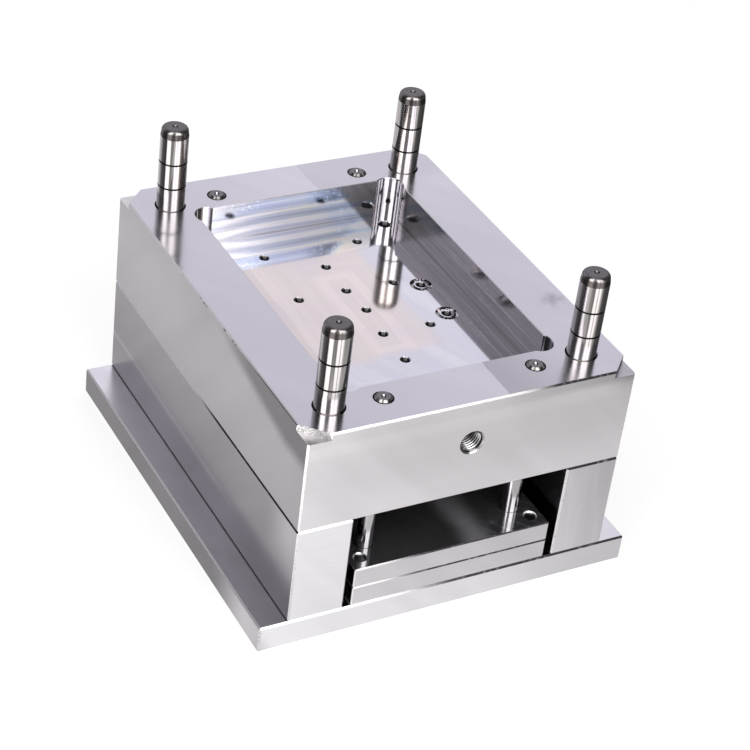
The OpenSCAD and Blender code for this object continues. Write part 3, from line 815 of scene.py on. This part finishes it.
def lit_bore(name, mouth_mm):
    """The far wall of a bore: it catches light at its mouth and goes dark with depth."""
    material, place = start_finish(name)
    rings = use(turning, Place=place, Pitch=0.5)["Rings"]
    lit = ramp(split(place)[2], mouth_mm - 5.0, mouth_mm - 0.5)
    colour = shade((0.8, 0.785, 0.795), (lit, 0.03, 1.0), (rings, 0.55, 1.1))
    steel(colour, 0.35, rings, 0.01).inputs["Metallic"].default_value = 0.35
    return material


RETAINER_TOP_MM = 50.0
pocket_bore = lit_bore("pocket_bore", POCKET_FLOOR_MM)
retainer_bore = lit_bore("retainer_bore", RETAINER_TOP_MM)

chatter_glints, place = start_finish("chatter_glints")
# Painted glints over the chatter marks
glints = ramp(noise(place, 0.55, 1.0), 0.46, 0.58)
steel(shade((0.5, 0.48, 0.5), (glints, 0.12, 1.9)), 0.2, glints, 0.05)

# %% [markdown]
# The retainer plate's top is ground to a near mirror and lies in the shade. The pins and the dark underside
# of the core plate are reflected in it. A soft haze of oil crosses it from the middle, and wipe marks curve
# over it.

# %% Ground plate in the shade
shaded_top, place = start_finish("shaded_top")
x, y, _ = split(place)
tree = place.tree
bent = out(put(tree, "TexNoise", {"Vector": place, "Scale": 0.012, "Detail": 0.0}), "Color")
swirl_at = out(put(tree, "VectorMath", {0: place, 1: stretch(bent, (90.0, 90.0, 0.0))}, operation="ADD"))
wipes = out(put(tree, "TexWave", {"Vector": swirl_at, "Scale": 0.05, "Distortion": 2.0, "Detail": 1.0},
                wave_type="RINGS"), "Fac")
wipes = ramp(wipes, 0.9, 1.0) * ramp(x, 16.0, 34.0)
cloud = noise(place, 0.03, 2.0)
haze_x = ramp(y, -60.0, -110.0, 16.0, 22.0)
haze = ramp(abs(cloud * 8.0 + x - haze_x), 17.0, 1.0)
colour = shade((0.46, 0.45, 0.475), (wipes * 0.4 + cloud, 0.75, 1.2), (haze, 1.0, 1.8))
shader = steel(colour, blend(cloud, 0.06, 0.14), wipes, 0.001, 0.3, along=ACROSS)
coated = wipes * 0.05 + haze * 0.16
plug(0.92 - coated, shader.inputs["Metallic"])

# %% [markdown]
# ## Painting the plates
# A plate is one solid with several finishes. A face knows its middle and its normal, and that is enough to
# tell a ground top from a chamfer or a bore, so each plate gets a list of finishes with a test for each.

# %% Tests that tell faces apart
TOUCH = 0.02 * MM
CORNERS = ("fl", "fr", "bl", "br")
TOP_Z, POCKET_FLOOR_Z = TOP_MM * MM, POCKET_FLOOR_MM * MM


def paint(name, rules, rest):
    """Give each face of a solid the first finish whose test holds, and the rest the last one."""
    mesh = solids[name].data
    finishes = [finish for finish, _ in rules] + [rest]
    mesh.materials.clear()
    for finish in finishes:
        mesh.materials.append(finish)
    counts = [0] * len(finishes)
    for face in mesh.polygons:
        chosen = next((i for i, (_, test) in enumerate(rules) if test(face.center, face.normal)), len(rules))
        face.material_index = chosen
        counts[chosen] += 1
    print(name, {finish.name: count for finish, count in zip(finishes, counts)})


def slanted(normal):
    """True for a 45 degree face of a chamfer along a straight edge."""
    parts = sorted(abs(part) for part in normal)
    return parts[0] < 0.05 and abs(parts[1] - parts[2]) < 0.05


def near_outside(name, reach=2.0):
    """A test for faces within reach millimetres of the solid's own box."""
    low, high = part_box(name)
    return lambda middle, normal: any(
        min(middle[i] - low[i], high[i] - middle[i]) < reach * MM for i in (0, 1))


def on_side(name, axis):
    """A test for faces that lie in the solid's two outer planes across this axis."""
    low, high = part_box(name)
    return lambda middle, normal: abs(normal[axis]) > 0.9 and min(
        abs(middle[axis] - low[axis]), abs(middle[axis] - high[axis])) < TOUCH


def near_pins(reach_mm, kind, sector=None):
    """A test for faces round the pins' feet; a sector is degrees from the front, and a half width."""
    feet = [(low + high) / 2 for low, high in (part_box(kind + corner) for corner in CORNERS)]

    def test(middle, normal):
        for foot in feet:
            across, ahead = middle.x - foot.x, foot.y - middle.y
            if math.hypot(across, ahead) < reach_mm * MM:
                turn = math.degrees(math.atan2(across, ahead))
                return sector is None or abs((turn - sector[0] + 180) % 360 - 180) < sector[1]
        return False
    return test


print("parting face at", round(TOP_MM, 1), "mm")

# %% [markdown]
# The core plate has the most kinds of face: its ground outside, the milled pocket with its round corner
# reliefs, the pry slots, the holes in the pocket floor and the mouths of the pin holes.

# %% Paint the core plate
FRONT_LEFT = (math.sin(math.radians(-31)), -math.cos(math.radians(-31)))
# Radius of the rings of painted shade round the pins
GUIDE_MOUTH_MM, RETURN_MOUTH_MM = 11.5, 7.5
# How deep the top chamfers and the pry slots reach, and where the seal grooves lie in X
TOP_EDGE, PRY_REACH, SEAL_X = 1.5 * MM, 6 * MM, (50 * MM, 66 * MM)
# Half the pocket in X and Y with its reliefs, and where the reliefs begin
POCKET_REACH, RELIEF_FROM = (84 * MM, 119 * MM), (62 * MM, 97 * MM)
edge_near = near_outside("core_plate")
on_edge = lambda m, n: slanted(n) and edge_near(m, n)
guide_mouth = near_pins(GUIDE_MOUTH_MM, "guide_pin_")
return_mouth = near_pins(RETURN_MOUTH_MM, "return_pin_")
highlight_sector = near_pins(GUIDE_MOUTH_MM, "guide_pin_", (-31, 52))
at_pin = lambda m, n: guide_mouth(m, n) or return_mouth(m, n)
at_mouth = lambda m, n: m.z > TOP_Z - 2 * MM and abs(n.z) > 0.3
at_top_edge = lambda m, n: slanted(n) and n.z > 0.5 and m.z > TOP_Z - TOP_EDGE
in_pocket = lambda m: abs(m.x) < POCKET_REACH[0] and abs(m.y) < POCKET_REACH[1]
in_relief = lambda m: in_pocket(m) and abs(m.x) > RELIEF_FROM[0] and abs(m.y) > RELIEF_FROM[1]
faces_operator = lambda n: n.x * FRONT_LEFT[0] + n.y * FRONT_LEFT[1] > 0.93
upright_in_pocket = lambda m, n: abs(n.z) < 0.1 and m.z > POCKET_FLOOR_Z and in_pocket(m)
paint("core_plate", [
    (ground_top, lambda m, n: n.z > 0.9 and abs(m.z - TOP_Z) < TOUCH),
    (side_core, on_side("core_plate", 0)),
    (front_core, on_side("core_plate", 1)),
    (mouth_highlight, lambda m, n: at_mouth(m, n) and highlight_sector(m, n)),
    (shaded_mouth, lambda m, n: (at_mouth(m, n) or abs(n.z) < 0.3) and at_pin(m, n)),
    (side_seam, lambda m, n: on_edge(m, n) and n.z < -0.5 and abs(n.x) > 0.5),
    (seam_edge, lambda m, n: on_edge(m, n) and n.z < -0.5),
    (front_top_edge, lambda m, n: on_edge(m, n) and at_top_edge(m, n) and abs(n.y) > 0.5),
    (left_top_edge, lambda m, n: on_edge(m, n) and at_top_edge(m, n) and abs(n.x) > 0.5),
    (bright_edge, on_edge),
    (ground_top, lambda m, n: n.z > 0.3 and m.z > TOP_Z - TOP_EDGE and (in_relief(m) or n.y < -0.5)),
    (bright_edge, at_top_edge),
    (milled_floor, lambda m, n: n.z > 0.9 and abs(m.z - POCKET_FLOOR_Z) < TOUCH),
    (relief_wall, lambda m, n: upright_in_pocket(m, n) and in_relief(m)),
    (milled_end, lambda m, n: upright_in_pocket(m, n) and abs(n.y) > 0.9),
    (milled_side, upright_in_pocket),
    (pry_wall, lambda m, n: abs(n.z) < 0.3 and edge_near(m, n) and m.z > TOP_Z - PRY_REACH),
    (pry_floor, lambda m, n: n.z > 0.9 and m.z > TOP_Z - PRY_REACH),
    (pry_wall, lambda m, n: m.z > TOP_Z - PRY_REACH),
    (chatter_glints, lambda m, n: POCKET_FLOOR_Z - 2.1 * MM < m.z < POCKET_FLOOR_Z and (n.z > 0.9 or abs(n.z) < 0.1)
        and SEAL_X[0] < m.x < SEAL_X[1]),
    (hole_mouth, lambda m, n: n.z > 0.3 and m.z > POCKET_FLOOR_Z - 1 * MM),
    (pocket_bore, lambda m, n: m.z < POCKET_FLOOR_Z and in_pocket(m) and faces_operator(n)),
], drilled)

# %% [markdown]
# The other plates have the same few kinds of face: ground top, sides and fronts, seams that hold dirt, and
# bright chamfers everywhere else.

# %% Paint the other plates
SEAM_REACH = 2 * MM


def seam_on(name, ends):
    """A test for the chamfers that lie along a seam, at the bottom (0) or top (1) of the solid."""
    low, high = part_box(name)
    near = near_outside(name)
    levels = [(low.z, high.z)[end] for end in ends]
    return lambda m, n: slanted(n) and near(m, n) and abs(n.z) > 0.5 and any(
        abs(m.z - level) < SEAM_REACH for level in levels)


seams = {"clamp_plate": clamp_seam, "ejector_plate": ejector_seam, "retainer_plate": ejector_seam}
for name, top, side, front, ends in (
        ("spacer_block_left", clamp_top, side_spacer, front_spacer, (0, 1)),
        ("spacer_block_right", clamp_top, side_spacer, front_spacer_right, (0, 1)),
        ("clamp_plate", clamp_top, side_clamp, front_clamp, (1,)),
        ("ejector_plate", clamp_top, side_clamp, front_ejector, (0, 1)),
        ("retainer_plate", shaded_top, side_clamp, front_ejector, (0, 1))):
    near, spacer = near_outside(name), name.startswith("spacer")
    paint(name, [
        (top, lambda m, n: n.z > 0.9),
        (side, on_side(name, 0)),
        (front, on_side(name, 1)),
        (side_seam, lambda m, n: spacer and slanted(n) and near(m, n) and abs(n.x) > 0.5 and n.z > 0.5),
        (dark_edge, lambda m, n: spacer and slanted(n) and near(m, n) and abs(n.x) > 0.5 and n.z < -0.5),
        (seams.get(name, seam_edge), seam_on(name, ends)),
        (bright_edge, lambda m, n: slanted(n) and near(m, n)),
        (bright_edge, lambda m, n: n.z > 0.3),
        (retainer_bore, lambda m, n: name == "retainer_plate" and faces_operator(n)),
    ], drilled)

# %% [markdown]
# ## Pins
# Guide pins are case hardened and ground round, almost to a mirror. The grinding lines circle the pin, and
# steel that is scored one way blurs what it mirrors across the lines, so the boxes draw out into bands
# along the pin.

# %% Round ground pins
def round_ground(name, colour, rough, amount):
    """Cylindrically ground steel: fine rings, and a blur along the pin."""
    material, place = start_finish(name)
    lines = use(turning, Place=place, Pitch=0.33)
    tone = shade(colour, (lines["Rings"], 0.9, 1.05), (lines["Smears"], 0.85, 1.1))
    steel(tone, rough, lines["Rings"], 0.001, amount, along=UPRIGHT)
    return material


pin_shank = round_ground("pin_shank", (0.50, 0.48, 0.47), 0.11, 0.7)
return_shank = round_ground("return_shank", (0.56, 0.55, 0.555), 0.11, 0.7)
pin_shoulder = round_ground("pin_shoulder", (0.30, 0.287, 0.283), 0.14, 0.0)

# %% [markdown]
# The nose is only turned and hardened, so it keeps a dull grey-brown skin of scale. The oil grooves are
# turned too and hold dark oil. Both are the same steel with a darker colour and a coarser surface.

# %% Turned noses, grooves and ends
def turned_dull(name, colour, rough, amount=0.3):
    """Turned and hardened steel with a dull skin."""
    material, place = start_finish(name)
    skin = use(wear, Place=place, Size=2.0)["Rub"]
    cuts = use(turning, Place=place, Pitch=0.25)["Rings"]
    tone = shade(colour, (skin, 0.75, 1.25), (cuts, 0.9, 1.1))
    steel(tone, rough, cuts, 0.004, amount, along=UPRIGHT)
    return material


nose_flat = turned_dull("nose_flat", (0.165, 0.155, 0.167), 0.36)
nose_band = turned_dull("nose_band", (0.12, 0.108, 0.105), 0.26)
groove_oil_and_shade = turned_dull("groove_oil_and_shade", (0.045, 0.042, 0.042), 0.35)
return_end = turned_dull("return_end", (0.20, 0.195, 0.205), 0.32)

# %% [markdown]
# Each pin is one solid too. The grooves are told by their height, the nose by how far its faces lean, and the
# centre hole by its distance from the axis. The centre hole is painted dark as shade, and its back half gets
# a painted highlight, as the picture shows.

# %% Paint the pins
GROOVES = (TOP_Z + 18 * MM, TOP_Z + 37 * MM)
NOSE_MM, GROOVE_HALF_MM, SHANK_MM = 7.0, 0.75, 9.99
# Radius round the centre holes of the guide pins and of the return pins
CENTRE_MM, RETURN_CENTRE_MM = 1.9, 1.7
# Where the painted highlight lies in the centre holes: degrees from the front, and a half width
LIT_SECTOR = (155, 26)
lit_guide = near_pins(CENTRE_MM, "guide_pin_", LIT_SECTOR)
lit_return = near_pins(RETURN_CENTRE_MM, "return_pin_", LIT_SECTOR)
for corner in CORNERS:
    low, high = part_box("guide_pin_" + corner)
    axis, tip = (low + high) / 2, high.z
    off = lambda m: math.hypot(m.x - axis.x, m.y - axis.y) / MM
    paint("guide_pin_" + corner, [
        (groove_oil_and_shade, lambda m, n: any(abs(m.z - groove) < GROOVE_HALF_MM * MM for groove in GROOVES)
            and off(m) < SHANK_MM),
        (return_end, lambda m, n: m.z > tip - 1 * MM and lit_guide(m, n)),
        (groove_oil_and_shade, lambda m, n: off(m) < CENTRE_MM),
        (nose_flat, lambda m, n: n.z > 0.8 and m.z > tip - 3 * MM),
        (pin_shoulder, lambda m, n: n.z > 0.2 and m.z > tip - NOSE_MM * MM),
        (nose_band, lambda m, n: n.z > 0.03 and m.z > tip - NOSE_MM * MM),
    ], pin_shank)
    low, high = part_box("return_pin_" + corner)
    axis, tip = (low + high) / 2, high.z
    paint("return_pin_" + corner, [
        (mouth_highlight, lambda m, n: m.z > tip - 1.8 * MM and lit_return(m, n)),
        (groove_oil_and_shade, lambda m, n: off(m) < RETURN_CENTRE_MM and m.z > tip - 4 * MM),
        (return_end, lambda m, n: n.z > 0.9 and m.z > tip - 1 * MM),
        (pin_shoulder, lambda m, n: n.z > 0.3 and m.z > tip - 3 * MM),
    ], return_shank)

# %% [markdown]
# ## Threads
# The solids have plain bores where the eyebolts and the cooling hoses screw in. The thread is a separate thin
# sleeve in each bore: a strip with the outline of one turn, wound like a spring, with a smooth outer wall.
# The first turn is cut back by the countersink, as a real tap leaves it. Its crests are bright; the roots,
# and the turns deeper in, are painted dark as shade.

# %% The look of a cut thread
lo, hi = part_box("core_plate")
EYEBOLT_Z = TOP_Z - 32 * MM
cut_thread, place = start_finish("cut_thread")
x, y, z = split(place)
rub = use(wear, Place=place, Size=1.4)["Rub"]
# Painted shade: darker deeper in the plate and at the thread's roots
depth = calc("MINIMUM", hi.x / MM - abs(x), hi.y / MM - abs(y))
level = z - EYEBOLT_Z / MM
across = calc("SQRT", x * x + level * level)
root = ramp(across, 7.2, 7.7) * calc("LESS_THAN", across, 9.0)
colour = shade((0.95, 0.94, 0.95), (ramp(depth, 4.0, 13.0), 1.0, 0.15), (rub, 0.8, 1.1), (root, 1.0, 0.06))
steel(colour, 0.2, rub, 0.02)

# %% [markdown]
# The strip has four points to a turn, two at the root and two at the crest. Each step round the bore moves
# the strip in by a small part of the pitch, so the end of one round meets the start of the next.

# %% Sleeves with a real thread
TURN_STEPS = 48
# Where a thread's outline bends, as a part of one turn, and whether it is at the root (0) or the crest (1)
OUTLINE = [(0.0, 0), (0.12, 0), (0.5, 1), (0.62, 1)]


def thread_sleeve(name, mouth, away, outer_mm, crest_mm, pitch_mm, start_mm, end_mm):
    """A tube with an inner thread; mouth is where its axis leaves the plate, away points out of the hole."""
    away, mouth = Vector(away), Vector(mouth)
    side = away.cross(Vector((0, 0, 1))).normalized()
    up = side.cross(away)
    shape = bmesh.new()
    rows = []
    for row in range(len(OUTLINE) * (math.ceil((end_mm - start_mm) / pitch_mm) + 1) + 1):
        part, is_crest = OUTLINE[row % len(OUTLINE)]
        ring = []
        for step in range(TURN_STEPS):
            depth = start_mm + pitch_mm * (row // len(OUTLINE) - 1 + part + step / TURN_STEPS)
            radius = max(crest_mm if is_crest else outer_mm - 0.05, outer_mm - (depth - start_mm))
            if depth <= start_mm or depth >= end_mm:
                depth, radius = min(max(depth, start_mm), end_mm), outer_mm
            angle = 2 * math.pi * step / TURN_STEPS
            outward = side * math.cos(angle) + up * math.sin(angle)
            ring.append(shape.verts.new(mouth - away * depth * MM + outward * radius * MM))
        rows.append(ring)
    for here, after in zip(rows, rows[1:]):
        for step in range(TURN_STEPS - 1):
            shape.faces.new((here[step], here[step + 1], after[step + 1], after[step]))
    for here, after, wrap, wrap_after in zip(rows, rows[1:], rows[len(OUTLINE):], rows[len(OUTLINE) + 1:]):
        shape.faces.new((here[-1], wrap[0], wrap_after[0], after[-1]))
    for step in range(TURN_STEPS):
        after = (step + 1) % TURN_STEPS
        shape.faces.new((rows[0][step], rows[0][after], rows[-1][after], rows[-1][step]))
    bmesh.ops.remove_doubles(shape, verts=shape.verts, dist=0.0005 * MM)
    bmesh.ops.dissolve_degenerate(shape, edges=shape.edges, dist=0.0005 * MM)
    bmesh.ops.recalc_face_normals(shape, faces=shape.faces)
    mesh = bpy.data.meshes.new(name)
    shape.to_mesh(mesh)
    shape.free()
    mesh.materials.append(cut_thread)
    sleeve = bpy.data.objects.new(name, mesh)
    scene.collection.objects.link(sleeve)
    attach(sleeve, "base")
    return sleeve


print("steps in a turn:", TURN_STEPS)

# %% [markdown]
# Two M16 threads hold the eyebolts, in the front and the back, and two small ones on the right take the
# hoses.

# %% Screw the sleeves in
HOSE_Y, HOSE_Z = 19 * MM, POCKET_FLOOR_Z - 18 * MM
EYEBOLT = {"outer_mm": 8.05, "crest_mm": 6.92, "pitch_mm": 2.0, "start_mm": 1.0, "end_mm": 28.5}
HOSE = {"outer_mm": 5.95, "crest_mm": 5.2, "pitch_mm": 1.5, "start_mm": 1.0, "end_mm": 13.5}
sleeves = [
    thread_sleeve("eyebolt_thread_front", (0, lo.y, EYEBOLT_Z), (0, -1, 0), **EYEBOLT),
    thread_sleeve("eyebolt_thread_back", (0, hi.y, EYEBOLT_Z), (0, 1, 0), **EYEBOLT),
    thread_sleeve("hose_thread_front", (hi.x, -HOSE_Y, HOSE_Z), (1, 0, 0), **HOSE),
    thread_sleeve("hose_thread_back", (hi.x, HOSE_Y, HOSE_Z), (1, 0, 0), **HOSE),
]
print("sleeves:", [(sleeve.name, len(sleeve.data.polygons)) for sleeve in sleeves])

# %% [markdown]
# ## Screws
# Socket head screws are black oxide: dark, slightly glossy, and a little worn at the rim.

# %% Black screws
black_screw, place = start_finish("black_screw")
rub = use(wear, Place=place, Size=1.25)["Rub"]
steel(shade((0.07, 0.07, 0.075), (rub, 0.7, 1.5)), 0.35, rub, 0.02)
for kind in ("frame_screw_", "spacer_screw_", "ejector_screw_"):
    for corner in CORNERS:
        paint(kind + corner, [], black_screw)
